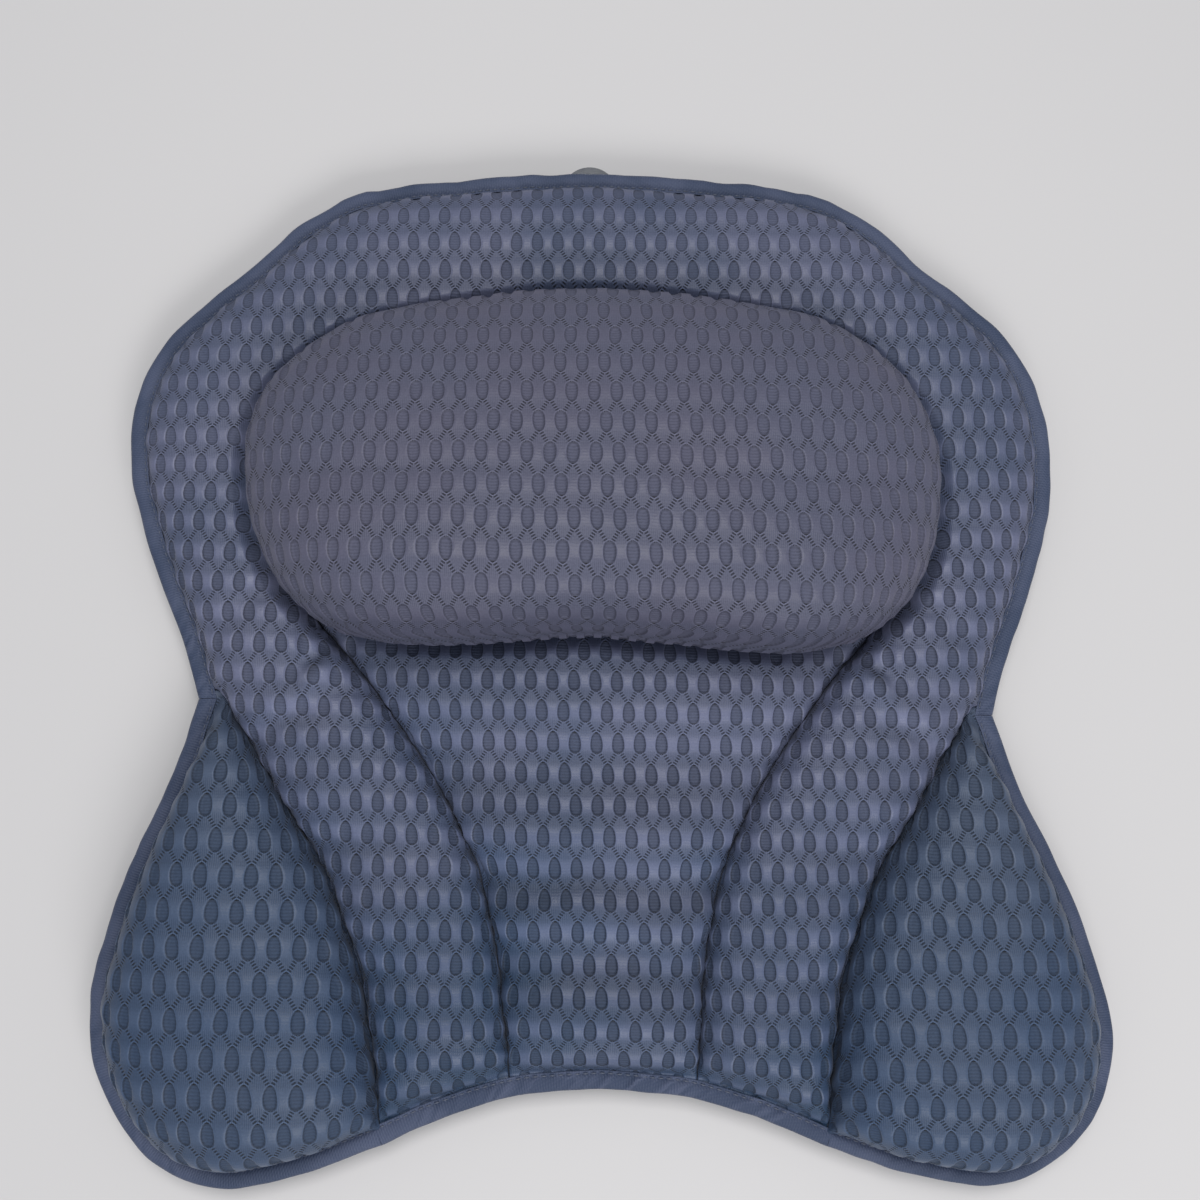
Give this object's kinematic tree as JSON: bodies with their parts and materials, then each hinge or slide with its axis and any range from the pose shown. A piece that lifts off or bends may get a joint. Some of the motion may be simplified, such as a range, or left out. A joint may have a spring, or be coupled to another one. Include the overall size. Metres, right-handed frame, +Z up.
{
  "type": "bath pillow",
  "caption": "Butterfly-shaped quilted bath pillow in spacer mesh, with a raised kidney-shaped headrest, two puffed side wings and suction cups on its back.",
  "frame": {"origin": "under the middle of the whole pillow, on the surface that its suction cups stand on", "axes": "+X across the pillow to the right wing as seen from the face side, +Y along it to the head end, +Z up from the tub surface to the side that the head rests on"},
  "size_m": [0.4296, 0.4548, 0.084],
  "materials": {
    "pad_mesh": "satin",
    "wing_mesh": "satin",
    "headrest_mesh": "satin",
    "back_cloth": "matte",
    "edge_tape": "matte",
    "wadding": "matte",
    "clear_vinyl": "gloss",
    "eyelet_plastic": "satin"
  },
  "bodies": {
    "pad": {"pad_back": "back_cloth", "surround_cover": "pad_mesh", "surround_filling": "wadding", "centre_cover": "pad_mesh", "centre_filling": "wadding", "head_edge_tape": "edge_tape", "foot_edge_tape": "edge_tape", "headrest_lining": "back_cloth", "headrest_core": "wadding", "headrest_cover": "headrest_mesh", "eyelet_top": "eyelet_plastic", "washer_top": "eyelet_plastic", "eyelet_upper_left": "eyelet_plastic", "washer_upper_left": "eyelet_plastic", "eyelet_upper_right": "eyelet_plastic", "washer_upper_right": "eyelet_plastic", "eyelet_lower_centre": "eyelet_plastic", "washer_lower_centre": "eyelet_plastic"},
    "left_wing": {"left_wing_back": "back_cloth", "left_wing_cover": "wing_mesh", "left_wing_filling": "wadding", "left_wing_tape": "edge_tape", "eyelet_left_wing": "eyelet_plastic", "washer_left_wing": "eyelet_plastic"},
    "right_wing": {"right_wing_back": "back_cloth", "right_wing_cover": "wing_mesh", "right_wing_filling": "wadding", "right_wing_tape": "edge_tape", "eyelet_right_wing": "eyelet_plastic", "washer_right_wing": "eyelet_plastic"},
    "cup_top": {"suction_cup_top": "clear_vinyl"},
    "cup_upper_left": {"suction_cup_upper_left": "clear_vinyl"},
    "cup_upper_right": {"suction_cup_upper_right": "clear_vinyl"},
    "cup_lower_centre": {"suction_cup_lower_centre": "clear_vinyl"},
    "cup_left_wing": {"suction_cup_left_wing": "clear_vinyl"},
    "cup_right_wing": {"suction_cup_right_wing": "clear_vinyl"}
  },
  "joints": [
    {"name": "left_wing_fold", "type": "hinge", "parent": "pad", "child": "left_wing", "pos_m": [-0.13222, -0.12078, 0.0153], "axis": [-0.4045, 0.9145, 0], "range_deg": [-20, 30], "stiffness_Nm_per_rad": 0.6},
    {"name": "right_wing_fold", "type": "hinge", "parent": "pad", "child": "right_wing", "pos_m": [0.13222, -0.12078, 0.0153], "axis": [-0.4045, -0.9145, 0], "range_deg": [-20, 30], "stiffness_Nm_per_rad": 0.6},
    {"name": "cup_top_turn", "type": "hinge", "parent": "pad", "child": "cup_top", "pos_m": [0, 0.18449, 0], "axis": [0, 0, 1], "continuous": true},
    {"name": "cup_upper_left_turn", "type": "hinge", "parent": "pad", "child": "cup_upper_left", "pos_m": [-0.16706, 0.07947, 0], "axis": [0, 0, 1], "continuous": true},
    {"name": "cup_upper_right_turn", "type": "hinge", "parent": "pad", "child": "cup_upper_right", "pos_m": [0.16706, 0.07947, 0], "axis": [0, 0, 1], "continuous": true},
    {"name": "cup_lower_centre_turn", "type": "hinge", "parent": "pad", "child": "cup_lower_centre", "pos_m": [0, -0.13567, 0], "axis": [0, 0, 1], "continuous": true},
    {"name": "cup_left_wing_turn", "type": "hinge", "parent": "left_wing", "child": "cup_left_wing", "pos_m": [-0.15523, -0.15167, 0], "axis": [0, 0, 1], "continuous": true},
    {"name": "cup_right_wing_turn", "type": "hinge", "parent": "right_wing", "child": "cup_right_wing", "pos_m": [0.15523, -0.15167, 0], "axis": [0, 0, 1], "continuous": true}
  ]
}
